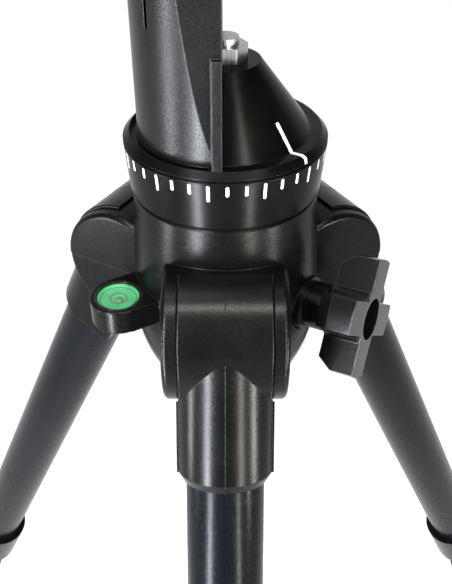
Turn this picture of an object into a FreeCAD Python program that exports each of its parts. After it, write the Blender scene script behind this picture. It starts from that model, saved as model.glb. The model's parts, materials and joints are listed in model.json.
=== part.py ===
import FreeCAD, Part
import math
import os
import re
import Sketcher

# Alt azimuth mount on a three-legged stand, in millimetres, +Z up.
# The origin is on the floor, in the middle of the rectangle that the feet span.
# The driving dimensions are in the sheet "dims". Heights written as z below are
# measured from the seam between the turntable and the scale ring, and radii from
# the azimuth axis. The front leg points along -Y.

Vector, Rotation, Placement = FreeCAD.Vector, FreeCAD.Rotation, FreeCAD.Placement
doc = FreeCAD.newDocument("alt_azimuth_mount")

# ---------------------------------------------------------------- driving dimensions
DIMENSIONS = {
    # scale ring and turntable
    "ring_radius": 48, "ring_foot_radius": 46, "ring_height": 25.6, "seam_gap": 0.5,
    "bore_gap": 0.05, "part_gap": 0.3, "spindle_radius": 6, "column_radius": 14,
    "column_wall": 1.6, "column_length": 290, "bush_wall": 2.2,
    "rim_radius": 45, "flange_top": 4, "cone_foot_radius": 40.2, "cone_top_radius": 16,
    "cone_top": 36, "nut_radius": 10, "nut_height": 7,
    # hub
    "hub_top_radius": 45, "split_depth": 79, "hub_split_radius": 48.2, "hub_low_depth": 140,
    "bowl_start_depth": 95, "bowl_start_radius": 49, "bowl_low_radius": 36, "bowl_arc": 84.4,
    "hinge_radius": 49, "hinge_depth": 80, "ear_radius": 33.5, "lower_ear_radius": 33,
    "ear_half": 29.1, "slot_half": 21.9, "slot_inner": 21, "roof_edge": 50.5,
    "roof_under_depth": 52, "roof_reach": 27.4, "hinge_pin_radius": 5, "ear_round": 2.6,
    "boss_radius": 12, "boss_end": 61, "knob_depth": 83, "knob_tilt": 5,
    "knob_radius": 30, "knob_length": 19, "lobe_half": 8.2, "lobe_turn": 54,
    "level_radius": 61.5, "level_depth": 73.2, "tab_radius": 14.1, "tab_thick": 13.4,
    "level_cup_radius": 11.9, "level_cup_depth": 8.5,
    # legs
    "leg_tilt": 26, "leg_offset": 11, "barrel_radius": 35, "barrel_half": 21.6,
    "socket_radius": 23.2, "socket_end": 70, "socket_bevel": 4.5, "socket_clear": 34.8, "tube_radius": 19,
    "tube_wall": 1.6, "tube_start": 20, "tube_end": 470, "inner_tube_radius": 16,
    "inner_tube_wall": 1.4, "inner_tube_start": 62, "inner_tube_end": 562,
    "collar_radius": 24, "collar_start": 446, "collar_end": 500, "lever_reach": 30.2,
    "sole_distance": 590, "boot_radius": 20, "boot_start": 540,
    # head
    "arm_radius": 41, "arm_face": 1.3, "altitude_height": 150,
    "arm_head_radius": 33, "arm_wall": 3.2, "arm_pocket_low": 58, "arm_pocket_half": 27, "altitude_shaft_radius": 8, "altitude_bush_radius": 12,
    "disc_radius": 34, "disc_start": 0.6, "disc_thick": 10, "saddle_length": 92,
    "saddle_base": 8, "dovetail_width": 44, "dovetail_height": 14, "jaw_wall": 13,
}
sheet = doc.addObject("Spreadsheet::Sheet", "dims")
for row, (alias, value) in enumerate(DIMENSIONS.items(), start=1):
    sheet.set("A%d" % row, alias)
    sheet.set("B%d" % row, str(value))
    sheet.setAlias("B%d" % row, alias)
# Worked-out places: the seam's height over the floor, and the azimuth axis behind the origin.
DERIVED = {
    "seam_z": "=hinge_depth + sole_distance * cos(leg_tilt * 1 deg) - leg_offset * sin(leg_tilt * 1 deg)",
    "axis_y": "=(hinge_radius + leg_offset * cos(leg_tilt * 1 deg)"
              " + sole_distance * sin(leg_tilt * 1 deg)) / 4 + 0.83",
}
for row, (alias, formula) in enumerate(DERIVED.items(), start=len(DIMENSIONS) + 1):
    sheet.set("A%d" % row, alias)
    sheet.set("B%d" % row, formula)
    sheet.setAlias("B%d" % row, alias)
doc.recompute()
ALIASES = set(DIMENSIONS) | set(DERIVED)


def cell(expression):
    """Write an expression with the sheet's name before each alias."""
    return re.sub(r"[a-z][a-z0-9_]*", lambda word: "dims." + word.group()
                  if word.group() in ALIASES else word.group(), str(expression))


def number(expression):
    """The value of an expression of the sheet's aliases."""
    return float(sheet.evalExpression(cell(expression)))


# ---------------------------------------------------------------- building blocks
nodes = {}
TURN_TO = {"z": Rotation(), "x": Rotation(Vector(0, 1, 0), 90), "y": Rotation(Vector(1, 0, 0), -90)}
counter = {"made": 0}


def new(kind, name):
    counter["made"] += 1
    return doc.addObject(kind, "%s_%d" % (name, counter["made"]))


def bind(thing, **sizes):
    for prop, expression in sizes.items():
        thing.setExpression(prop.replace("__", "."), cell(expression))
    return thing


def at(thing, x=0, y=0, z=0):
    return bind(thing, Placement__Base__x=x, Placement__Base__y=y, Placement__Base__z=z)


def rod(radius, length, along="z", x=0, y=0, z=0, name="rod"):
    """A cylinder that starts at the given point and runs along +X, +Y or +Z."""
    thing = new("Part::Cylinder", name)
    thing.Placement = Placement(Vector(), TURN_TO[along])
    bind(thing, Radius=radius, Height=length)
    return at(thing, x, y, z)


def block(low, high, name="block"):
    """A box from its lowest to its highest corner."""
    thing = new("Part::Box", name)
    bind(thing, Length="(%s) - (%s)" % (high[0], low[0]), Width="(%s) - (%s)" % (high[1], low[1]),
         Height="(%s) - (%s)" % (high[2], low[2]))
    return at(thing, *low)


def cone(radius_start, radius_end, length, along="z", x=0, y=0, z=0):
    thing = new("Part::Cone", "cone")
    thing.Placement = Placement(Vector(), TURN_TO[along])
    bind(thing, Radius1=radius_start, Radius2=radius_end, Height=length)
    return at(thing, x, y, z)


def fuse(*things):
    joined = new("Part::MultiFuse", "fuse")
    joined.Shapes = list(things)
    joined.Refine = True
    return joined


def cut(base, *tools):
    result = new("Part::Cut", "cut")
    result.Base = base
    result.Tool = tools[0] if len(tools) == 1 else fuse(*tools)
    result.Refine = True
    return result


def common(first, second):
    result = new("Part::Common", "common")
    result.Base, result.Tool = first, second
    result.Refine = True
    return result


def rounded(base, radius, picks):
    """Round the edges that picks(edge) chooses."""
    doc.recompute()
    result = new("Part::Fillet", "round")
    result.Base = base
    size = number(radius)
    result.Edges = [(index, size, size) for index, edge in enumerate(base.Shape.Edges, start=1)
                    if picks(edge)]
    return result


def profile(body, plane, outline):
    """A closed sketch. Each point is (x, y), or (x, y, radius) for an arc to the next point."""
    sketch = body.newObject("Sketcher::SketchObject", "sketch_%s" % body.Name)
    origin_plane = [f for f in body.Origin.OriginFeatures if f.Role == plane + "_Plane"][0]
    sketch.AttachmentSupport = [(origin_plane, "")]
    sketch.MapMode = "FlatFace"
    places = [Vector(number(point[0]), number(point[1]), 0) for point in outline]
    starts = []
    for index, point in enumerate(outline):
        first, last = places[index], places[(index + 1) % len(outline)]
        if len(point) == 2:
            sketch.addGeometry(Part.LineSegment(first, last), False)
            starts.append((1, 2))
            continue
        bend = number(point[2])
        chord = last - first
        side = Vector(-chord.y, chord.x, 0).normalize() * math.copysign(1, bend)
        centre = (first + last) * 0.5 + side * math.sqrt(bend ** 2 - (chord.Length / 2) ** 2)
        ends = (first, last) if bend > 0 else (last, first)
        angles = [math.atan2(end.y - centre.y, end.x - centre.x) for end in ends]
        circle = Part.Circle(centre, Vector(0, 0, 1), abs(bend))
        sketch.addGeometry(Part.ArcOfCircle(circle, angles[0], angles[1]), False)
        starts.append((1, 2) if bend > 0 else (2, 1))
        sketch.addConstraint(Sketcher.Constraint("Radius", index, abs(bend)))
    for index in range(len(outline)):
        following = (index + 1) % len(outline)
        sketch.addConstraint(Sketcher.Constraint("Coincident", index, starts[index][1],
                                                 following, starts[following][0]))
    for index, point in enumerate(outline):
        for kind, expression, place in (("DistanceX", point[0], places[index].x),
                                        ("DistanceY", point[1], places[index].y)):
            made = sketch.addConstraint(Sketcher.Constraint(kind, -1, 1, index,
                                                            starts[index][0], place))
            sketch.setExpression("Constraints[%d]" % made, cell(expression))
    return sketch


def lathe(outline, name="turned"):
    """A body of revolution about Z from an outline of (radius, z) points."""
    body = new("PartDesign::Body", name)
    sketch = profile(body, "XZ", outline)
    feature = body.newObject("PartDesign::Revolution", "revolution_%s" % body.Name)
    feature.Profile = sketch
    feature.ReferenceAxis = (sketch, ["V_Axis"])
    feature.Angle = 360
    return body


def plate(outline, plane, length, name="plate"):
    """A pad of an outline, half its length to each side of its plane."""
    body = new("PartDesign::Body", name)
    sketch = profile(body, plane, outline)
    feature = body.newObject("PartDesign::Pad", "pad_%s" % body.Name)
    feature.Profile = sketch
    feature.Midplane = True
    feature.setExpression("Length", cell(length))
    return body


def group(*things):
    """Separate solids kept as one node."""
    compound = new("Part::Compound", "group")
    compound.Links = list(things)
    return compound


def copies(thing, yaws):
    """The same shape again at each turn about Z."""
    made = []
    for yaw in yaws:
        link = group(thing)
        link.Placement = Placement(Vector(), Rotation(yaw, 0, 0))
        made.append(link)
    return made


def finish(label, thing, yaw=0, y="axis_y", z="seam_z"):
    """Name a finished sub-part and set it on the azimuth axis at the seam's height."""
    holder = group(thing)
    holder.Placement = Placement(Vector(), Rotation(yaw, 0, 0))
    bind(holder, Placement__Base__y=y, Placement__Base__z=z)
    holder.Label = label
    nodes[label] = holder
    return holder


def is_circle(edge):
    return edge.Curve.TypeId == "Part::GeomCircle"


LEG_YAWS = (0, 120, -120)
AROUND = (0, 120, 240)

# ---------------------------------------------------------------- hub


def lug(radius, low, high):
    """A cylinder across the front leg's hinge axis, kept between two heights."""
    barrel = rod(radius, "2 * ear_half", "x", "-ear_half", "-hinge_radius", "-hinge_depth")
    soft = rounded(barrel, "ear_round", is_circle)
    return common(soft, block(("-40", "-90", low), ("40", "-25", high)))


def slot():
    """The space of a leg's barrel: under the roof from the column's tube, and open outside it."""
    under = block(("-slot_half", "-100", "-200"), ("slot_half", "-slot_inner", "-roof_under_depth"))
    outside = block(("-slot_half", "-100", "-60"), ("slot_half", "-roof_edge", "-35"))
    return fuse(under, outside)


def knob_axis(thing):
    """Set a shape built along +X on the lock knob's axis, 60 degrees right of the front."""
    holder = group(thing)
    tilt = Rotation(Vector(0, 1, 0), -number("knob_tilt"))
    holder.Placement = Placement(Vector(), Rotation(-30, 0, 0).multiply(tilt))
    return at(holder, "0", "0", "-knob_depth - hub_top_radius * tan(knob_tilt * 1 deg)")


def tab(grow):
    """The level's tab, 60 degrees left of the front, grown by a gap on every side."""
    round_end = rod("tab_radius + %s" % grow, "tab_thick + 2 * %s" % grow, "z", "0",
                    "-level_radius", "-level_depth - tab_thick - %s" % grow)
    if grow == "0":
        round_end = rounded(round_end, "0.8", is_circle)
    web = block(("-tab_radius - %s" % grow, "-level_radius", "-level_depth - tab_thick - %s" % grow),
                ("tab_radius + %s" % grow, "-35", "-level_depth + %s" % grow))
    both = fuse(round_end, web)
    both.Placement = Placement(Vector(), Rotation(-60, 0, 0))
    return both


def hub_screw(yaw, top, grow):
    """A screw from below that holds the two hub halves together."""
    shank = rod("1.9 + %s" % grow, "hub_low_depth - 3 - %s" % top, "z", "0", "-34",
                "-hub_low_depth + 3")
    head = rod("3.4 + 2 * %s" % grow, "3 + %s" % grow, "z", "0", "-34", "-hub_low_depth")
    both = fuse(shank, head)
    both.Placement = Placement(Vector(), Rotation(yaw, 0, 0))
    return both


HUB_SCREWS = ((60, "89"), (180, "70"), (-60, "76"))


def hinge_seat():
    return rod("hinge_pin_radius", "2 * ear_half - 8", "x", "4 - ear_half", "-hinge_radius",
               "-hinge_depth")


def on_level_axis(radius, length, z):
    """A cylinder on the bubble level's axis."""
    thing = rod(radius, length)
    return at(thing, "-level_radius * sin(60 * 1 deg)", "-level_radius * cos(60 * 1 deg)", z)


def make_hub():
    wall = lathe([("column_radius + bush_wall", "-ring_height - seam_gap"),
                  ("hub_top_radius - 1.2", "-ring_height - seam_gap"),
                  ("hub_top_radius", "-ring_height - seam_gap - 1.2"),
                  ("hub_split_radius", "-split_depth"),
                  ("column_radius + bush_wall", "-split_depth")], "hub_wall")
    boss = fuse(rod("boss_radius", "boss_end - 30", "x", "30"),
                rod("boss_radius + 2", "20.5", "x", "30"))
    screw_holes = [hub_screw(yaw, top, "bore_gap") for yaw, top in HUB_SCREWS]
    bore = rod("column_radius + bush_wall", "200", "z", "0", "0", "-180")
    upper = fuse(wall, *(copies(lug("ear_radius", "-split_depth", "0"), AROUND)
                         + [knob_axis(boss), tab("0")]))
    upper = cut(upper, *(copies(slot(), AROUND) + copies(hinge_seat(), AROUND) + screw_holes
                         + [on_level_axis("level_cup_radius + bore_gap", "level_cup_depth + 5",
                                          "-level_depth - level_cup_depth"),
                            bore, knob_axis(rod("5", "60", "x", "10"))]))
    finish("hub_upper", upper)

    bowl = lathe([("hub_split_radius", "-split_depth - 0.2"),
                  ("bowl_start_radius", "-bowl_start_depth", "-bowl_arc"),
                  ("bowl_low_radius", "-hub_low_depth + 2"),
                  ("bowl_low_radius - 3", "-hub_low_depth"),
                  ("column_radius + bush_wall", "-hub_low_depth"),
                  ("column_radius + bush_wall", "-split_depth - 0.2")], "hub_bowl")
    well = cut(block(("-socket_radius - 1.1", "-110", "-200"),
                     ("socket_radius + 1.1", "-33.5", "-split_depth - 1")),
               rod("socket_clear - 0.6", "80", "x", "-40", "-hinge_radius", "-hinge_depth"))
    lower = fuse(bowl, *copies(lug("lower_ear_radius", "-split_depth - 40", "-split_depth - 0.2"),
                               AROUND))
    lower = cut(lower, *(copies(slot(), AROUND) + copies(well, AROUND)
                         + copies(hinge_seat(), AROUND) + screw_holes
                         + [tab("0.3"), knob_axis(rod("boss_radius + 2.3", "70", "x", "25")),
                            knob_axis(rod("5", "30", "x", "10")), bore]))
    finish("hub_lower", lower)
    finish("hinge_pins", group(*copies(hinge_seat(), AROUND)))
    finish("hub_screws", group(*[hub_screw(yaw, top, "0") for yaw, top in HUB_SCREWS]))
    bush = lathe([("column_radius + bore_gap", "0"), ("column_radius + bush_wall - 0.02", "0"),
                  ("column_radius + bush_wall - 0.02", "22"), ("column_radius + bore_gap", "22")],
                 "bush")
    for label, low in (("upper_bush", "-ring_height - seam_gap - 23"),
                       ("lower_bush", "-hub_low_depth + 1")):
        finish(label, at(group(bush), "0", "0", low))


def make_level():
    cup = cut(on_level_axis("level_cup_radius", "level_cup_depth", "-level_depth - level_cup_depth"),
              on_level_axis("level_cup_radius - 0.9", "level_cup_depth", "-level_depth - level_cup_depth + 1"))
    finish("level_cup", cup)
    finish("level_vial", on_level_axis("level_cup_radius - 0.95", "level_cup_depth - 3",
                                       "-level_depth - level_cup_depth + 1"))
    finish("level_window", on_level_axis("level_cup_radius - 0.95", "1.6",
                                         "-level_depth - 2"))


def make_lock_knob():
    finish("lock_insert", knob_axis(cut(rod("4.95", "16", "x", "boss_end - 17"),
                                        rod("4.05", "40", "x", "boss_end - 30"))))
    finish("lock_pad", knob_axis(rod("3.8", "5", "x", "17.2")))
    finish("lock_screw", knob_axis(rod("4", "49", "x", "22.3")))
    # Four lobes of a cross, cut to a round outline and drawn in toward the hub.
    start, end = "boss_end + 3", "boss_end + 3 + knob_length"
    lobes = fuse(block((start, "-lobe_half", "-knob_radius - 2"), (end, "lobe_half", "knob_radius + 2")),
                 block((start, "-knob_radius - 2", "-lobe_half"), (end, "knob_radius + 2", "lobe_half")))
    lobes = group(lobes)
    lobes.Placement = Placement(Vector(), Rotation(Vector(1, 0, 0), number("lobe_turn")))
    outline = fuse(cone("knob_radius - 5", "knob_radius", "7", "x", start),
                   rod("knob_radius", "knob_length", "x", "boss_end + 10"))
    middle = rod("15", "18", "x", start)
    flange = rod("9.5", "4", "x", "boss_end + 0.6")
    knob = fuse(common(lobes, outline), middle, flange)
    knob = cut(knob, rod("10.6", "8", "x", "boss_end + 14"), rod("4.02", "11", "x", "boss_end"))
    finish("lock_knob", knob_axis(knob))


# ---------------------------------------------------------------- legs


def hinge_frame(thing, yaw, label):
    """Set a leg piece, built down -Z from its hinge with the outside toward -Y, on its leg."""
    tilted = group(thing)
    tilted.Placement = Placement(Vector(), Rotation(0, 0, -number("leg_tilt")))
    at(tilted, "0", "-hinge_radius", "-hinge_depth")
    finish(label, group(tilted), yaw)


def leg_rod(radius, top, bottom, y="-leg_offset"):
    """A cylinder along the leg between two distances below the hinge."""
    return rod(radius, "(%s) - (%s)" % (bottom, top), "z", "0", y, "-(%s)" % bottom)


def leg_tube(radius, wall, top, bottom):
    return cut(leg_rod(radius, top, bottom), leg_rod("%s - %s" % (radius, wall), "%s - 1" % top,
                                                     "%s + 1" % bottom))


def make_leg_top():
    barrel = rod("barrel_radius", "2 * barrel_half", "x", "-barrel_half")
    barrel = rounded(barrel, "0.8", is_circle)
    keep = block(("-40", "-60", "-60"), ("40", "13", "60"))
    socket = fuse(leg_rod("socket_radius", "0", "socket_end - socket_bevel"),
                  cone("socket_radius - 2.6", "socket_radius", "socket_bevel", "z", "0", "-leg_offset",
                       "-socket_end"),
                  rounded(block(("-socket_radius", "-18", "-socket_end + socket_bevel"),
                                ("socket_radius", "10", "0")),
                          "2.5", lambda edge: abs(edge.tangentAt(edge.FirstParameter).z) > 0.9
                          and edge.BoundBox.YMax > 5))
    narrow = cut(rod("socket_clear", "80", "x", "-40"),
                 block(("-barrel_half", "-60", "-60"), ("barrel_half", "60", "60")))
    # Where the hub's roof passes as the leg folds.
    roof_room = []
    for step in range(9):
        roof = group(block(("-40", "hinge_radius - roof_edge - part_gap", "roof_reach"), ("40", "60", "60")))
        roof.Placement = Placement(Vector(), Rotation(0, 0, number("leg_tilt") * step / 8))
        roof_room.append(roof)
    body = cut(fuse(common(barrel, keep), cut(socket, narrow)), *roof_room,
               rod("hinge_pin_radius + bore_gap", "80", "x", "-40"),
               leg_rod("tube_radius + bore_gap", "tube_start", "socket_end + 5"))
    return body


def make_collar():
    """The clamp at the upper tube's foot, with two ears for the flip lever."""
    sleeve = leg_rod("collar_radius", "collar_start", "collar_end")
    ears = block(("-12", "-leg_offset - lever_reach - 4", "-collar_end + 4"),
                 ("12", "-leg_offset - 18", "-collar_end + 20"))
    solid = cut(fuse(sleeve, ears),
                leg_rod("tube_radius + bore_gap", "collar_start - 1", "tube_end"),
                leg_rod("inner_tube_radius + bore_gap", "tube_end - 1", "collar_end + 1"),
                block(("-8.4", "-leg_offset - 60", "-collar_end + 3"),
                      ("8.4", "-leg_offset - collar_radius - 0.2", "-collar_end + 21")),
                lever_pin("bore_gap"))
    return solid


def lever_pin(grow):
    return rod("2.5 + %s" % grow, "24", "x", "-12", "-leg_offset - lever_reach", "-collar_end + 12")


def make_lever():
    cam = rod("5.2", "16", "x", "-8", "-leg_offset - lever_reach", "-collar_end + 12")
    paddle = block(("-8", "-leg_offset - lever_reach - 4.6", "-collar_end + 12"),
                   ("8", "-leg_offset - lever_reach + 0.4", "-collar_end + 58"))
    paddle = rounded(paddle, "1.8", lambda edge: edge.BoundBox.ZMin > -number("collar_end") + 57
                     or edge.BoundBox.YMax < -number("leg_offset + lever_reach") - 4)
    return cut(fuse(cam, paddle), lever_pin("bore_gap"))


def make_boot():
    """A rubber boot on the lower tube, its sole level with the floor."""
    boot = fuse(leg_rod("boot_radius - 1.5", "boot_start", "boot_start + 30"),
                leg_rod("boot_radius", "boot_start + 22", "sole_distance + 20"))
    floor = group(block(("-60", "-60", "-60"), ("60", "60", "0")))
    floor.Placement = Placement(Vector(), Rotation(0, 0, number("leg_tilt")))
    at(floor, "0", "-leg_offset", "-sole_distance")
    return cut(boot, floor, leg_rod("inner_tube_radius + bore_gap", "boot_start - 1", "inner_tube_end"))


def make_legs():
    pieces = {
        "leg_top": make_leg_top(),
        "upper_tube": leg_tube("tube_radius", "tube_wall", "tube_start", "tube_end"),
        "leg_collar": make_collar(),
        "lever_pin": lever_pin("0"),
        "clamp_lever": make_lever(),
        "lower_tube": leg_tube("inner_tube_radius", "inner_tube_wall", "inner_tube_start",
                               "inner_tube_end"),
        "slide_bush": cut(leg_rod("tube_radius - tube_wall - bore_gap", "inner_tube_start - 8",
                                  "inner_tube_start + 22"),
                          leg_rod("inner_tube_radius", "inner_tube_start", "inner_tube_start + 23")),
        "foot": make_boot(),
    }
    for number_of_leg, yaw in enumerate(LEG_YAWS, start=1):
        for name, piece in pieces.items():
            hinge_frame(piece, yaw, "%s_%d" % (name, number_of_leg))


# ---------------------------------------------------------------- column and azimuth


def make_column():
    tube = cut(rod("column_radius", "column_length", "z", "0", "0", "-16 - column_length"),
               rod("column_radius - column_wall", "column_length + 2", "z", "0", "0",
                   "-17 - column_length"))
    finish("column_tube", tube)
    stop = fuse(rod("column_radius - column_wall - 0.02", "14", "z", "0", "0", "-16 - column_length"),
                rod("column_radius + 2", "6", "z", "0", "0", "-22 - column_length"))
    finish("column_stop", cut(stop, rod("4.2", "14", "z", "0", "0", "-23 - column_length")))
    finish("column_head", lathe([("spindle_radius + bore_gap", "-16"),
                                 ("column_radius + bore_gap", "-16"),
                                 ("column_radius + bore_gap", "-ring_height"),
                                 ("29.7", "-ring_height"), ("29.7", "-21.45"), ("40.7", "-21.45"),
                                 ("40.7", "-15.2"), ("37.6", "-15.2"), ("37.6", "-6"),
                                 ("spindle_radius + bore_gap", "-6")], "column_head"))
    ring = lathe([("29.8", "-ring_height"), ("ring_foot_radius - 1.6", "-ring_height"),
                  ("ring_foot_radius + 0.1", "-ring_height + 1.6"),
                  ("ring_radius", "-0.8"), ("ring_radius - 0.8", "0"), ("41", "0"),
                  ("41", "-ring_height + 4"), ("29.8", "-ring_height + 4")], "scale_ring")
    ring = cut(ring, rod("2.6", "20", "y", "0", "35", "-9.5"))
    finish("scale_ring", ring)
    bolt = fuse(rod("spindle_radius", "16 + cone_top + nut_height + 3", "z", "0", "0", "-16"),
                rod("spindle_radius + 4", "6", "z", "0", "0", "-22"))
    finish("azimuth_spindle", bolt)
    knob = fuse(rod("2.5", "12", "y", "0", "41.1", "-9.5"),
                rounded(rod("7.5", "13", "y", "0", "49", "-9.5"), "1.2", is_circle))
    finish("azimuth_lock_knob", knob)
    finish("thrust_washer", lathe([("7", "-5.95"), ("37", "-5.95"), ("37", "-4.4"), ("7", "-4.4")],
                                  "thrust_washer"))


def left_of_face(low, high):
    """A large box on the arm's side of the head."""
    return block(("-90", "-90", low), ("-arm_face", "90", high))


def make_turntable():
    base = lathe([("spindle_radius + bore_gap", "-4.35"), ("40.6", "-4.35"), ("40.6", "seam_gap"),
                  ("ring_radius - 0.4", "seam_gap"),
                  ("ring_radius", "seam_gap + 0.5"), ("rim_radius", "flange_top"),
                  ("cone_foot_radius", "flange_top"), ("cone_top_radius", "cone_top"),
                  ("spindle_radius + bore_gap", "cone_top")], "turntable")
    groove = common(lathe([("arm_radius + 0.6", "1.4"), ("rim_radius - 0.4", "1.4"),
                           ("rim_radius - 0.4", "9"), ("arm_radius + 0.6", "9")], "groove"),
                    block(("-60", "-60", "0"), ("-7", "60", "10")))
    seat = block(("-90", "-90", "flange_top"), ("-arm_face + part_gap", "90", "90"))
    finish("turntable", cut(base, groove, seat, arm_screw("bore_gap")))
    finish("bearing_skirt", lathe([("37.9", "-13"), ("40.6", "-13"), ("40.6", "-4.36"), ("37.9", "-4.36")],
                                  "bearing_skirt"))
    corner, flat = "nut_radius / 2", "nut_radius * cos(30 * 1 deg)"
    nut = plate([("nut_radius", "0"), (corner, flat), ("-" + corner, flat), ("-nut_radius", "0"),
                 ("-" + corner, "-" + flat), (corner, "-" + flat)], "XY", "nut_height")
    nut = cut(at(group(nut), "0", "0", "cone_top + 0.05 + nut_height / 2"),
              rod("spindle_radius + bore_gap", "nut_height + 2", "z", "0", "0", "cone_top - 1"))
    finish("azimuth_nut", nut)
    finish("arm_screws", arm_screw("0"))


def arm_screw(grow):
    """Two screws up from the turntable into the arm."""
    made = []
    for y in ("-22", "22"):
        made.append(fuse(rod("3 + %s" % grow, "26", "z", "-18", y, "-1.4"),
                         rod("5 + %s" % grow, "3", "z", "-18", y, "-4.3")))
    return group(*made)


def along_altitude(radius, start, end):
    return rod(radius, "(%s) - (%s)" % (end, start), "x", start, "0", "altitude_height")


def make_arm():
    outline = plate([("-arm_radius", "flange_top + 0.02"), ("arm_radius", "flange_top + 0.02"),
                     ("arm_head_radius + 0.5", "altitude_height - 34"),
                     ("arm_head_radius", "altitude_height", "arm_head_radius"),
                     ("0", "altitude_height + arm_head_radius", "arm_head_radius"),
                     ("-arm_head_radius", "altitude_height"),
                     ("-arm_head_radius - 0.5", "altitude_height - 34")], "YZ", "200", "arm")
    column = rod("arm_radius", "250", "z", "0", "0", "0")
    body = common(common(outline, column), left_of_face("0", "300"))
    rib = common(block(("-arm_face - 4.4", "-60", "flange_top + 0.02"),
                       ("-arm_face", "60", "flange_top + 46")),
                 cone("rim_radius", "arm_radius", "46", "z", "0", "0", "flange_top"))
    spindle_room = rod("13", "60", "z", "0", "0", "0")
    pocket = block(("-32", "-27", "58"), ("-arm_face - 3.6", "27", "altitude_height - 42"))
    window = block(("-32", "-30", "55"), ("-arm_face + 1", "30", "altitude_height - 39"))
    recess = common(window, block(("-arm_face - 3.2", "-80", "0"), ("10", "80", "300")))
    arm = cut(fuse(body, rib), pocket, recess, spindle_room, arm_screw("bore_gap"),
              along_altitude("altitude_bush_radius", "-60", "20"))
    finish("fork_arm", arm)
    finish("arm_cover", block(("-arm_face - 3.15", "-29.9", "55.1"),
                              ("-arm_face", "29.9", "altitude_height - 39.1")))
    bush = cut(along_altitude("altitude_bush_radius - 0.02", "-40", "-arm_face"),
               along_altitude("altitude_shaft_radius + bore_gap", "-60", "20"))
    finish("altitude_bush", bush)


def make_altitude():
    disc_end = "disc_start + disc_thick"
    finish("altitude_shaft", along_altitude("altitude_shaft_radius", "-64", disc_end))
    disc = rounded(along_altitude("disc_radius", "disc_start", disc_end), "1", is_circle)
    finish("altitude_disc", cut(disc, along_altitude("altitude_shaft_radius + 0.02", "-1", "60"),
                                saddle_screw("bore_gap")))
    knob = rounded(along_altitude("22", "-62", "-44"), "2.5", is_circle)
    grips = group(*[at(rod("4.5", "30", "x"), "-66", "24.5 * cos(%d * 1 deg)" % angle,
                       "altitude_height + 24.5 * sin(%d * 1 deg)" % angle)
                    for angle in range(0, 360, 45)])
    finish("altitude_knob", cut(knob, grips, along_altitude("altitude_shaft_radius + bore_gap",
                                                            "-70", "-40")))
    finish("altitude_washer", cut(along_altitude("15", "-43.9", "-41.2"),
                                  along_altitude("altitude_shaft_radius + bore_gap", "-50", "-30")))
    # The saddle holds a dovetail bar that lies along Y: a fixed jaw below, a sliding one above.
    floor_x = "disc_start + disc_thick + saddle_base"
    half = "dovetail_width / 2"
    flank = "dovetail_height * tan(15 * 1 deg)"
    saddle = plate([(disc_end, "altitude_height - dovetail_width / 2 - jaw_wall"),
                    ("%s + dovetail_height" % floor_x, "altitude_height - dovetail_width / 2 - jaw_wall"),
                    ("%s + dovetail_height" % floor_x, "altitude_height - %s + %s" % (half, flank)),
                    (floor_x, "altitude_height - %s" % half),
                    (floor_x, "altitude_height + %s + jaw_wall" % half),
                    (disc_end, "altitude_height + %s + jaw_wall" % half)], "XZ", "saddle_length")
    tower = block((disc_end, "-16", "altitude_height + %s + jaw_wall" % half),
                  ("%s + dovetail_height" % floor_x, "16", "altitude_height + %s + jaw_wall + 6" % half))
    knob_x, knob_z = "disc_start + disc_thick + saddle_base + 6", "altitude_height + dovetail_width / 2"
    hole = rod("3.05", "30", "z", knob_x, "0", "%s + 2" % knob_z)
    finish("saddle", cut(fuse(saddle, tower), hole, saddle_screw("bore_gap")))
    finish("saddle_screws", saddle_screw("0"))
    jaw = plate([("%s + 0.1" % floor_x, "%s + 3.2" % knob_z), ("%s + 0.1" % floor_x, "%s + 12.6" % knob_z),
                 ("%s + dovetail_height" % floor_x, "%s + 12.6" % knob_z),
                 ("%s + dovetail_height" % floor_x, "%s + 3.2 - %s" % (knob_z, flank))], "XZ", "56")
    finish("clamp_jaw", cut(jaw, rod("3.05", "9", "z", knob_x, "0", "%s + 4" % knob_z)))
    knob = rounded(rod("11", "16", "z", knob_x, "0", "%s + 22" % knob_z), "1.6", is_circle)
    finish("clamp_knob", fuse(knob, rod("3", "17", "z", knob_x, "0", "%s + 5.5" % knob_z)))


def saddle_screw(grow):
    """Two screws through the saddle's floor into the altitude disc."""
    return group(*[fuse(rod("2.5 + %s" % grow, "13", "x", "disc_start + 2", y, "altitude_height"),
                        rod("4.5 + %s" % grow, "3", "x", "disc_start + disc_thick + saddle_base - 3.2",
                            y, "altitude_height")) for y in ("-20", "20")])


make_hub()
make_level()
make_lock_knob()
make_legs()
make_column()
make_turntable()
make_arm()
make_altitude()

# ---------------------------------------------------------------- checks and files
doc.recompute()
failed = [thing.Name for thing in doc.Objects
          if any(word in ("Invalid", "Error") for word in thing.State)]
failed += [label for label, thing in nodes.items() if thing.Shape.isNull() or not thing.Shape.isValid()]
if failed:
    raise RuntimeError("these did not build: %s" % ", ".join(failed))
os.makedirs("parts", exist_ok=True)
whole = FreeCAD.BoundBox()
for label, thing in nodes.items():
    thing.Shape.exportStep("parts/%s.step" % label)
    whole.add(thing.Shape.optimalBoundingBox(False, False))
print("%d sub-parts, box %s" % (len(nodes), whole))
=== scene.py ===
import json
import math

import bmesh
import bpy
from mathutils import Matrix, Vector


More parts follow.
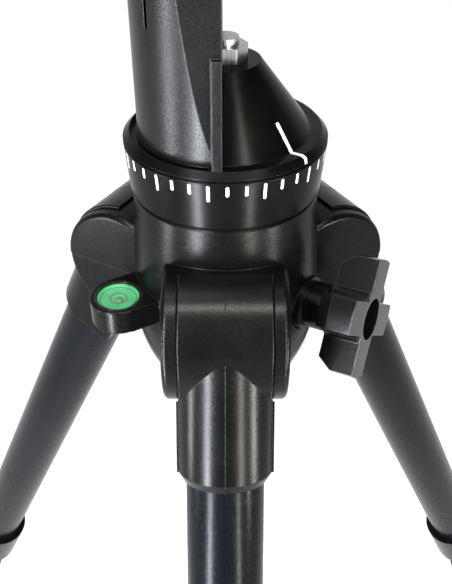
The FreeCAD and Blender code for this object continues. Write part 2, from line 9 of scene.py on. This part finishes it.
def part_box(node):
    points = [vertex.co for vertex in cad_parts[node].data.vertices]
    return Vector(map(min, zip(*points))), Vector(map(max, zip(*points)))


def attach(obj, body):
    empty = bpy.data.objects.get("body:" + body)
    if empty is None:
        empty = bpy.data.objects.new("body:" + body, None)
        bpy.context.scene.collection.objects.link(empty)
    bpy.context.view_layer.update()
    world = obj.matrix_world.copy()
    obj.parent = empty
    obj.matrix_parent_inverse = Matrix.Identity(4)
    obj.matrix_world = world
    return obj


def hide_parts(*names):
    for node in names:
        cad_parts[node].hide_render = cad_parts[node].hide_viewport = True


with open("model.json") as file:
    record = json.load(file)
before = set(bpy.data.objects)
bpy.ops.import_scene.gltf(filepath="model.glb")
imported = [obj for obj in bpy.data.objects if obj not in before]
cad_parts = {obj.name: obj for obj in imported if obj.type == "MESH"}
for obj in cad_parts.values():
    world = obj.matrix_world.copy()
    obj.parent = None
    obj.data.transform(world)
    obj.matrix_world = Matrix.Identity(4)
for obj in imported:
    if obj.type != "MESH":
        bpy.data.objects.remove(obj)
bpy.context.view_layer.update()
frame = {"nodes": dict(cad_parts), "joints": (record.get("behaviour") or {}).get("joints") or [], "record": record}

MM = 0.001
NODES = frame["nodes"]
JOINTS = {joint["name"]: joint for joint in frame["joints"]}
LEGS = (1, 2, 3)

# The azimuth axis and the seam between the turntable and the scale ring.
ring_low, ring_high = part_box("scale_ring")
AXIS = Vector(((ring_low.x + ring_high.x) / 2, (ring_low.y + ring_high.y) / 2, 0))
SEAM = ring_high.z
ROOM = Matrix.Translation((AXIS.x, AXIS.y, SEAM))

# ---------------------------------------------------------------- materials


def shader(name, **inputs):
    """A material with one Principled shader, its sockets set by name."""
    material = bpy.data.materials.new(name)
    material.use_nodes = True
    tree = material.node_tree
    bsdf = tree.nodes["Principled BSDF"]
    for socket, value in inputs.items():
        bsdf.inputs[socket.replace("_", " ")].default_value = value
    return material, tree, bsdf


def link(tree, source, target):
    tree.links.new(source, target)


def noise(tree, scale, detail=3.0, rough=0.55, stretch=None):
    """A noise in the object's own metres, stretched along an axis if asked."""
    coords = tree.nodes.new("ShaderNodeTexCoord")
    texture = tree.nodes.new("ShaderNodeTexNoise")
    texture.inputs["Scale"].default_value = scale
    texture.inputs["Detail"].default_value = detail
    texture.inputs["Roughness"].default_value = rough
    source = coords.outputs["Object"]
    if stretch:
        mapping = tree.nodes.new("ShaderNodeMapping")
        mapping.inputs["Scale"].default_value = stretch
        link(tree, source, mapping.inputs["Vector"])
        source = mapping.outputs["Vector"]
    link(tree, source, texture.inputs["Vector"])
    return texture.outputs["Fac"]


def ramp(tree, source, low, high, start=0.35, end=0.65):
    """Map a value to a range of colours or greys."""
    node = tree.nodes.new("ShaderNodeValToRGB")
    node.color_ramp.elements[0].position = start
    node.color_ramp.elements[1].position = end
    node.color_ramp.elements[0].color = low
    node.color_ramp.elements[1].color = high
    link(tree, source, node.inputs["Fac"])
    return node.outputs["Color"]


def grey(value):
    return (value, value, value, 1)


def relief(tree, bsdf, *layers, edge=0.0):
    """Stack bumps of (height, strength, distance), starting from softly rounded edges."""
    normal = None
    if edge:
        soft = tree.nodes.new("ShaderNodeBevel")
        soft.samples = 6
        soft.inputs["Radius"].default_value = edge
        normal = soft.outputs["Normal"]
    for height, strength, distance in layers:
        bump = tree.nodes.new("ShaderNodeBump")
        bump.inputs["Strength"].default_value = strength
        bump.inputs["Distance"].default_value = distance
        link(tree, height, bump.inputs["Height"])
        if normal:
            link(tree, normal, bump.inputs["Normal"])
        normal = bump.outputs["Normal"]
    link(tree, normal, bsdf.inputs["Normal"])


def painted_edge_highlight(tree, base, light, width):
    """Painted highlight: mix a base colour toward a lighter one along the edges."""
    geometry = tree.nodes.new("ShaderNodeNewGeometry")
    soft = tree.nodes.new("ShaderNodeBevel")
    soft.samples = 6
    soft.inputs["Radius"].default_value = width
    same = tree.nodes.new("ShaderNodeVectorMath")
    same.operation = "DOT_PRODUCT"
    link(tree, soft.outputs["Normal"], same.inputs[0])
    link(tree, geometry.outputs["Normal"], same.inputs[1])
    mask = ramp(tree, same.outputs["Value"], grey(1), grey(0), 0.9, 0.99)
    mix = tree.nodes.new("ShaderNodeMix")
    mix.data_type = "RGBA"
    link(tree, mask, mix.inputs["Factor"])
    link(tree, base, mix.inputs[6])
    mix.inputs[7].default_value = light
    return mix.outputs[2]


def grained(name, tone, roughness, grain, depth, edge=0.0004, tint=(1, 1, 1), specular=0.5, spread=0.06,
           highlight_gain=5):
    """Black moulded plastic or powder coat: spark-eroded grain, faint mottling, handling marks and a painted
    highlight along the edges.
    """
    material, tree, bsdf = shader(name, Specular_IOR_Level=specular)
    low = [tone * 0.8 * c for c in tint] + [1]
    high = [tone * 1.25 * c for c in tint] + [1]
    colour = ramp(tree, noise(tree, 60, 4), low, high)
    # Painted highlight along the edges: the base colour is made lighter there, standing in for lamp light.
    edge_lit_colour = painted_edge_highlight(tree, colour, [tone * highlight_gain * c for c in tint] + [1], edge * 0.8)
    link(tree, edge_lit_colour, bsdf.inputs["Base Color"])
    fine = noise(tree, grain, 2.5, 0.6)
    handled = ramp(tree, noise(tree, 35, 5), grey(-spread / 2), grey(spread / 2))
    sparkle = ramp(tree, fine, grey(roughness - spread), grey(roughness + spread))
    total = tree.nodes.new("ShaderNodeMath")
    link(tree, handled, total.inputs[0])
    link(tree, sparkle, total.inputs[1])
    link(tree, total.outputs["Value"], bsdf.inputs["Roughness"])
    broad = noise(tree, grain / 9, 2, 0.5)
    relief(tree, bsdf, (fine, 1.0, depth), (broad, 0.4, depth), edge=edge)
    return material


def drawn_metal(name, colour, roughness, lines, depth, metallic=1.0, edge=0.0003, stretch=(1, 1, 0.02)):
    """Metal drawn or turned along one direction, with fine lines and light scuffs."""
    material, tree, bsdf = shader(name, Metallic=metallic, Specular_IOR_Level=0.05)
    low = [c * 0.82 for c in colour] + [1]
    high = [min(1, c * 1.15) for c in colour] + [1]
    streaks = noise(tree, lines, 4, 0.6, stretch)
    link(tree, ramp(tree, noise(tree, 25, 4), low, high), bsdf.inputs["Base Color"])
    link(tree, ramp(tree, streaks, grey(roughness - 0.05), grey(roughness + 0.07)),
         bsdf.inputs["Roughness"])
    relief(tree, bsdf, (streaks, 0.5, depth), edge=edge)
    return material


def printed(name, colour, roughness=0.45):
    """Pad-printed ink: slightly uneven, with pinholes."""
    material, tree, bsdf = shader(name)
    low = [c * 0.86 for c in colour] + [1]
    link(tree, ramp(tree, noise(tree, 1800, 3), low, list(colour) + [1], 0.3, 0.5),
         bsdf.inputs["Base Color"])
    link(tree, ramp(tree, noise(tree, 900, 2), grey(roughness - 0.08), grey(roughness + 0.1)),
         bsdf.inputs["Roughness"])
    relief(tree, bsdf, (noise(tree, 2500, 2), 0.3, 0.00003))
    return material


def green_with_painted_glow():
    """The vial's green, with a painted glow: a real level is lit from behind by its white bottom, and here an
    emission stands in for that light.
    """
    material, tree, bsdf = shader("vial_green", Roughness=0.22, Emission_Strength=0.8,
                                  Specular_IOR_Level=0.04)
    cloudy = noise(tree, 160, 2)
    link(tree, ramp(tree, cloudy, (0.002, 0.035, 0.012, 1), (0.004, 0.05, 0.018, 1)),
         bsdf.inputs["Base Color"])
    # Painted glow: the emission colour stands in for light coming through the vial.
    link(tree, ramp(tree, cloudy, (0.012, 0.30, 0.085, 1), (0.03, 0.44, 0.13, 1)),
         bsdf.inputs["Emission Color"])
    relief(tree, bsdf, (noise(tree, 300, 2), 0.15, 0.00005))
    return material


def clear_window():
    material, tree, bsdf = shader("vial_clear", Alpha=0.01, IOR=1.45, Specular_IOR_Level=0.1)
    link(tree, ramp(tree, noise(tree, 400, 3), (0.93, 1, 0.95, 1), (1, 1, 1, 1)),
         bsdf.inputs["Base Color"])
    link(tree, ramp(tree, noise(tree, 700, 3), grey(0.03), grey(0.08)), bsdf.inputs["Roughness"])
    relief(tree, bsdf, (noise(tree, 900, 2), 0.05, 0.00001))
    return material


FINISH = {
    "hub_plastic": grained("hub_grain", 0.0010, 0.25, 1900, 0.000035, 0.0007, (1, 1, 1.06), 0.07),
    "leg_plastic": grained("leg_grain", 0.0011, 0.23, 2100, 0.00003, 0.0005, (1, 1, 1.04), 0.08),
    "lever_plastic": grained("lever_gloss", 0.002, 0.26, 3000, 0.00003, 0.0006, specular=0.4),
    # The knob's edges get a stronger painted highlight.
    "knob_plastic": grained("knob_gloss", 0.0016, 0.13, 900, 0.000012, 0.0008, (1, 1, 1.06), 0.11,
                            spread=0.03, highlight_gain=12),
    "ring_black": grained("ring_satin", 0.0008, 0.22, 3200, 0.000008, 0.0006, (1, 1, 1.1), 0.05),
    "arm_paint": grained("powder_coat", 0.0012, 0.3, 1700, 0.00004, 0.0009, (1, 1, 1.04), 0.12),
    "level_black": grained("vial_cup", 0.002, 0.25, 2600, 0.00003, 0.0002, specular=0.35),
    "tube_black": drawn_metal("anodised_tube", (0.0014, 0.0017, 0.0023), 0.24, 900, 0.000006, 0.15),
    "steel": drawn_metal("zinc_steel", (0.34, 0.34, 0.36), 0.28, 1500, 0.00002),
    "brass": drawn_metal("turned_brass", (0.45, 0.32, 0.13), 0.25, 1500, 0.00002),
    "bronze": drawn_metal("sintered_bronze", (0.3, 0.2, 0.11), 0.45, 1200, 0.00004, stretch=(1, 1, 1)),
    "nylon": grained("natural_nylon", 0.3, 0.45, 900, 0.00003, tint=(1, 0.97, 0.9)),
    "rubber": grained("boot_rubber", 0.004, 0.7, 1400, 0.00008, specular=0.3),
    "level_green": green_with_painted_glow(),
    "level_clear": clear_window(),
}
WHITE_INK = printed("white_ink", (0.26, 0.262, 0.27))
RED_INK = printed("red_ink", (0.03, 0.004, 0.002))
for entry in frame["record"]["subparts"]:
    materials = NODES[entry["node"]].data.materials
    materials.clear()
    materials.append(FINISH[entry["material_slot"]])

# ---------------------------------------------------------------- mesh helpers


def piece(name, points, faces, material, body, place=ROOM, smooth=True):
    """A mesh piece from points in millimetres, set in the scene by a placing matrix."""
    mesh = bpy.data.meshes.new(name)
    mesh.from_pydata([place @ (Vector(point) * MM) for point in points], [], faces)
    cleaner = bmesh.new()
    cleaner.from_mesh(mesh)
    bmesh.ops.remove_doubles(cleaner, verts=cleaner.verts, dist=1e-7)
    bmesh.ops.recalc_face_normals(cleaner, faces=cleaner.faces)
    cleaner.to_mesh(mesh)
    cleaner.free()
    for face in mesh.polygons:
        face.use_smooth = smooth
    thing = bpy.data.objects.new(name, mesh)
    bpy.context.scene.collection.objects.link(thing)
    mesh.materials.append(material)
    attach(thing, body)
    return thing


def ribbon(rows):
    """Faces of a closed band: each row is a loop of points, and the ends are capped."""
    points, faces = [], []
    for row in rows:
        points.extend(row)
    size = len(rows[0])
    for i in range(len(rows) - 1):
        for j in range(size):
            k = (j + 1) % size
            faces.append((i * size + j, i * size + k, (i + 1) * size + k, (i + 1) * size + j))
    faces.append(tuple(range(size - 1, -1, -1)))
    faces.append(tuple((len(rows) - 1) * size + j for j in range(size)))
    return points, faces


def merge(parts):
    points, faces = [], []
    for more_points, more_faces in parts:
        base = len(points)
        points += more_points
        faces += [tuple(base + index for index in face) for face in more_faces]
    return points, faces


# ---------------------------------------------------------------- azimuth scale
RING_TOP, RING_FOOT, RING_HEIGHT = 48.0, 46.1, 25.6
TICK_WIDTH, TICK_TOP, SHORT_TICK, LONG_TICK = 1.45, 1.5, 5.2, 8.0
FIRST_TICK = 1.1


def ring_wall(depth):
    """The scale ring's radius at a depth below the seam."""
    share = (depth - 0.8) / (RING_HEIGHT - 2.4)
    return RING_TOP + (RING_FOOT - RING_TOP) * share


def tick(angle, length):
    """A raised, round-ended mark on the ring's wall."""
    half, steps = TICK_WIDTH / 2, 10
    outline = []
    for i in range(steps + 1):
        turn = math.pi * i / steps
        outline.append((half * math.cos(turn), TICK_TOP + half - half * math.sin(turn)))
    for i in range(steps + 1):
        turn = math.pi + math.pi * i / steps
        outline.append((half * math.cos(turn), TICK_TOP + length - half - half * math.sin(turn)))

    def row(grow):
        points = []
        for across, depth in outline:
            radius = ring_wall(depth) + grow
            turn = math.radians(angle) + across / radius
            points.append((radius * math.sin(turn), -radius * math.cos(turn), -depth))
        return points
    return ribbon([row(-0.3), row(0.06)])


def make_scale():
    marks = []
    for i in range(36):
        angle = FIRST_TICK + 10 * i
        marks.append(tick(angle, LONG_TICK if (i + 1) % 3 == 0 else SHORT_TICK))
    points, faces = merge(marks)
    piece("scale_marks", points, faces, WHITE_INK, "column", smooth=False)


# ---------------------------------------------------------------- index line
INDEX_WIDTH = 1.75
INDEX_LIFT, INDEX_LEAN, INDEX_CROWN = 0.25, 0.12, 0.4
# (azimuth, radius, height) where the line starts, bends and ends.
INDEX_PATH = ((45.4, 31.5, 15.55), (46.4, 40.15, 4.1), (47.8, 44.9, 4.1),
              (49.0, 46.3, 2.8), (47.4, 47.9, 1.2))


def make_index():
    rows = []
    for azimuth, radius, height in INDEX_PATH:
        turn = math.radians(azimuth)
        out = Vector((math.sin(turn), -math.cos(turn), 0))
        side = Vector((math.cos(turn), math.sin(turn), 0)) * (INDEX_WIDTH / 2)
        centre = out * radius + Vector((0, 0, height))
        up = Vector((0, 0, INDEX_LIFT)) + out * INDEX_LEAN
        top = up * INDEX_CROWN
        rows.append([centre - side - up, centre + side - up, centre + side + top, centre - side + top])
    points, faces = ribbon(rows)
    piece("index_line", points, faces, WHITE_INK, "rotor", smooth=False)


# ---------------------------------------------------------------- bubble level
SEGMENTS = 64
# (radius, height) down from the cup's top: the vial from its bottom up and over its lip, and the lens.
VIAL_PROFILE = ((10.85, -7.4), (10.85, -0.7), (10.5, -0.5), (10.1, -0.65), (9.2, -1.75), (8.9, -1.85))
LENS_PROFILE = ((10.4, -0.62), (10.4, -0.45), (8.0, -0.28), (4.0, -0.16))
# (outer radius, inner radius, height, thickness) of each ring.
# The lip and crease rings here are painted shade.
LIP_SHADE_RING, CREASE_SHADE_RING = (10.98, 10.35, -0.6, 0.25), (9.2, 8.85, -1.78, 0.05)
# The bubble's rim ring here is painted shade; the circle is print.
CIRCLE, BUBBLE_RIM_SHADE = (4.45, 3.75, -1.84, 0.06), (2.45, 2.15, -1.85, 0.05)
BUBBLE_RADIUS, BUBBLE_HEIGHT, BUBBLE_SEAT, BUBBLE_CENTRE = 2.2, 0.5, -1.87, (0.4, -1.0)
BUBBLE_ROWS, BUBBLE_ROUND = 8, 32


def disc(radius, height, steps=SEGMENTS, centre=(0, 0)):
    return [(centre[0] + radius * math.cos(math.tau * i / steps),
             centre[1] + radius * math.sin(math.tau * i / steps), height) for i in range(steps)]


def ring(outer, inner, height, thick, centre=(0, 0)):
    """A flat washer, closed all round."""
    loops = [disc(outer, height, centre=centre), disc(outer, height + thick, centre=centre),
             disc(inner, height + thick, centre=centre), disc(inner, height, centre=centre)]
    points = [point for loop in loops for point in loop]
    faces = [(a * SEGMENTS + i, a * SEGMENTS + (i + 1) % SEGMENTS,
              b * SEGMENTS + (i + 1) % SEGMENTS, b * SEGMENTS + i)
             for a, b in ((0, 1), (1, 2), (2, 3), (3, 0)) for i in range(SEGMENTS)]
    return points, faces


def make_level():
    low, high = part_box("level_cup")
    middle = Vector(((low.x + high.x) / 2, (low.y + high.y) / 2, high.z))
    place = Matrix.Translation(middle)
    # The green vial: a shallow dish with a sloping wall and a flat floor.
    points, faces = ribbon([disc(radius, height) for radius, height in VIAL_PROFILE])
    vial = piece("level_vial_body", points, faces, FINISH["level_green"], "hub", place)
    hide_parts("level_vial")
    # Painted shade: a black ring on the dish's lip and a thin black line in the crease where its wall meets the
    # floor.
    points, faces = merge([ring(*LIP_SHADE_RING), ring(*CREASE_SHADE_RING)])
    piece("level_painted_shade", points, faces, FINISH["level_black"], "hub", place, smooth=False)
    points, faces = ring(*CIRCLE)
    piece("level_circle", points, faces, RED_INK, "hub", place, smooth=False)
    # The bubble, a flattened dome just inside the circle.
    rows = []
    for step in range(BUBBLE_ROWS):
        rise = math.radians(90 * step / BUBBLE_ROWS)
        rows.append(disc(BUBBLE_RADIUS * math.cos(rise), BUBBLE_SEAT + BUBBLE_HEIGHT * math.sin(rise),
                         BUBBLE_ROUND, BUBBLE_CENTRE))
    points, faces = ribbon(rows)
    bubble_material, tree, bsdf = shader("bubble", Roughness=0.2, Specular_IOR_Level=0.2)
    link(tree, ramp(tree, noise(tree, 300, 2), (0.005, 0.05, 0.018, 1), (0.012, 0.08, 0.03, 1)),
         bsdf.inputs["Base Color"])
    relief(tree, bsdf, (noise(tree, 500, 1), 0.05, 0.00002))
    piece("level_bubble", points, faces, bubble_material, "hub", place)
    # Painted shade: a black ring round the bubble's foot, where its edge looks dark.
    points, faces = ring(*BUBBLE_RIM_SHADE, BUBBLE_CENTRE)
    piece("level_bubble_rim_shade", points, faces, FINISH["level_black"], "hub", place,
          smooth=False)
    # The window, a thin clear lens.
    points, faces = ribbon([disc(radius, height) for radius, height in LENS_PROFILE])
    window = piece("level_lens", points, faces, FINISH["level_clear"], "hub", place)
    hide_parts("level_window")


# ---------------------------------------------------------------- parting lines
BARREL, SOCKET_FRONT = 35.0, 34.2
# The line runs round the barrel from one angle to another, then down the socket.
LINE_START, LINE_END = 76, 26
LINE_DROP, LINE_FOOT = -8.0, -69.5
LINE_HALF, LINE_SPREAD, LINE_ROOT, LINE_PROUD = 0.16, 1.6, 0.2, 0.09
ARC_STEPS, DROP_STEPS = 24, 12


def leg_frame(index):
    """The leg's own frame: X along its hinge, Z up the leg, -Y outward."""
    fold, slide = JOINTS["leg_fold_%d" % index], JOINTS["leg_slide_%d" % index]
    across, up = Vector(fold["axis"]).normalized(), -Vector(slide["axis"]).normalized()
    out = up.cross(across)
    frame_matrix = Matrix((across, out, up)).transposed().to_4x4()
    frame_matrix.translation = Vector(fold["pos_m"])
    return frame_matrix


def make_parting_lines():
    """The fine raised line where the two halves of each leg top's mould met."""
    for index in LEGS:
        path = []
        for step in range(ARC_STEPS + 1):
            turn = math.radians(LINE_START + (LINE_END - LINE_START) * step / ARC_STEPS)
            path.append((BARREL * math.cos(turn), BARREL * math.sin(turn)))
        for step in range(DROP_STEPS + 1):
            path.append((SOCKET_FRONT, LINE_DROP + (LINE_FOOT - LINE_DROP) * step / DROP_STEPS))
        rows = []
        for out, up in path:
            outward = Vector((0, -out, max(up, 0))).normalized()
            centre = Vector((0, -out, up))
            side = Vector((LINE_HALF, 0, 0))
            foot, root, crest = side * LINE_SPREAD, outward * LINE_ROOT, outward * LINE_PROUD
            rows.append([centre - foot - root, centre + foot - root,
                         centre + side + crest, centre - side + crest])
        points, faces = ribbon(rows)
        piece("parting_line_%d" % index, points, faces, FINISH["leg_plastic"], "leg_%d" % index,
              leg_frame(index))


make_scale()
make_index()
make_level()
make_parting_lines()

# ---------------------------------------------------------------- studio
CAMERA_BACK, CAMERA_UP, CAMERA_SIDE = 333.0, 164.2, 0.3
CAMERA_PITCH = 37.88
LENS, SENSOR = 47.71, 36.0
FLOOR_TONE, FLOOR_GLOW, WORLD_GLOW = (0.14, 0.14, 0.14), 0.82, 0.06
# The floor, in metres: half its width, its front edge, where it starts to bend, the bend, its top.
FLOOR_HALF, FLOOR_FRONT, BEND_START, BEND, BACKDROP_TOP, BEND_STEPS = 5.0, -4.0, 1.6, 1.2, 5.0, 12
# The lamps aim at a point on the azimuth axis, this far below the seam in metres.
HUB_DROP = 0.06
# (name, azimuth, distance, height, size, watts, colour): two upright strips in front of the object,
# a short one at each side and a bar above it make its highlights.
LAMPS = (
    ("left_strip", -33, 0.55, 0.05, (0.075, 1.2), 42, (0.90, 0.94, 1.0)),
    ("right_strip", 29, 0.60, 0.05, (0.06, 1.2), 16, (1.0, 0.95, 0.86)),
    ("left_side", -70, 0.60, -0.10, (0.05, 0.34), 5, (0.92, 0.96, 1.0)),
    ("right_side", 55, 0.60, -0.08, (0.05, 0.30), 6, (1.0, 0.97, 0.92)),
    ("front_bar", 0, 0.42, 1.25, (1.3, 0.12), 34, (1.0, 0.95, 0.88)),
)
TOP_PLACE, TOP_SIZE, TOP_POWER = Vector((-0.3, 0.3, 1.9)), (1.2, 0.8), 24


def plain(name, colour, roughness=0.6):
    """A pale, lit-from-within studio surface, so that it stays even and white."""
    material, tree, bsdf = shader(name, Roughness=roughness, Emission_Color=(1, 1, 1, 1),
                                  Emission_Strength=FLOOR_GLOW)
    link(tree, ramp(tree, noise(tree, 3, 2), [c * 0.985 for c in colour] + [1], list(colour) + [1]),
         bsdf.inputs["Base Color"])
    return material


def make_floor():
    """A pale floor that sweeps up into a backdrop behind the object."""
    profile = [(FLOOR_FRONT, 0.0), (BEND_START, 0.0)]
    for step in range(1, BEND_STEPS + 1):
        turn = math.radians(90 * step / BEND_STEPS)
        profile.append((BEND_START + BEND * math.sin(turn), BEND - BEND * math.cos(turn)))
    profile.append((BEND_START + BEND, BACKDROP_TOP))
    points, faces = [], []
    for x in (-FLOOR_HALF, FLOOR_HALF):
        points += [Vector((x, y, z)) for y, z in profile]
    count = len(profile)
    for i in range(count - 1):
        faces.append((i, i + 1, count + i + 1, count + i))
    mesh = bpy.data.meshes.new("studio_floor")
    mesh.from_pydata(points, [], faces)
    for face in mesh.polygons:
        face.use_smooth = True
    floor = bpy.data.objects.new("studio_floor", mesh)
    bpy.context.scene.collection.objects.link(floor)
    mesh.materials.append(plain("pale_floor", FLOOR_TONE))


def area(name, place, target, size, power, colour=(1, 1, 1)):
    light = bpy.data.lights.new(name, "AREA")
    light.shape, light.size, light.size_y = "RECTANGLE", size[0], size[1]
    light.energy, light.color = power, colour
    thing = bpy.data.objects.new(name, light)
    place, target = Vector(place), Vector(target)
    aim = (target - place).to_track_quat("-Z", "Y")
    thing.matrix_world = Matrix.Translation(place) @ aim.to_matrix().to_4x4()
    thing.visible_camera = False
    bpy.context.scene.collection.objects.link(thing)


def around(centre, azimuth, distance, height):
    """A point at a distance and height from the hub, at an azimuth from the front."""
    turn = math.radians(azimuth)
    return centre + Vector((distance * math.sin(turn), -distance * math.cos(turn), height))


def make_studio():
    make_floor()
    hub = Vector((AXIS.x, AXIS.y, SEAM - HUB_DROP))
    for name, azimuth, distance, height, size, power, colour in LAMPS:
        area(name, around(hub, azimuth, distance, height), hub, size, power, colour)
    area("top_soft", hub + TOP_PLACE, hub, TOP_SIZE, TOP_POWER)
    world = bpy.data.worlds.new("studio")
    world.use_nodes = True
    world.node_tree.nodes["Background"].inputs["Color"].default_value = (1, 1, 1, 1)
    world.node_tree.nodes["Background"].inputs["Strength"].default_value = WORLD_GLOW
    bpy.context.scene.world = world
    bpy.context.scene.view_settings.view_transform = "Standard"
    lens = bpy.data.cameras.new("camera")
    lens.lens, lens.sensor_width, lens.clip_start = LENS, SENSOR, 0.01
    camera = bpy.data.objects.new("camera", lens)
    camera.location = (AXIS.x + CAMERA_SIDE * MM, AXIS.y - CAMERA_BACK * MM, SEAM + CAMERA_UP * MM)
    camera.rotation_euler = (math.radians(90 - CAMERA_PITCH), 0, 0)
    bpy.context.scene.collection.objects.link(camera)
    bpy.context.scene.camera = camera


make_studio()
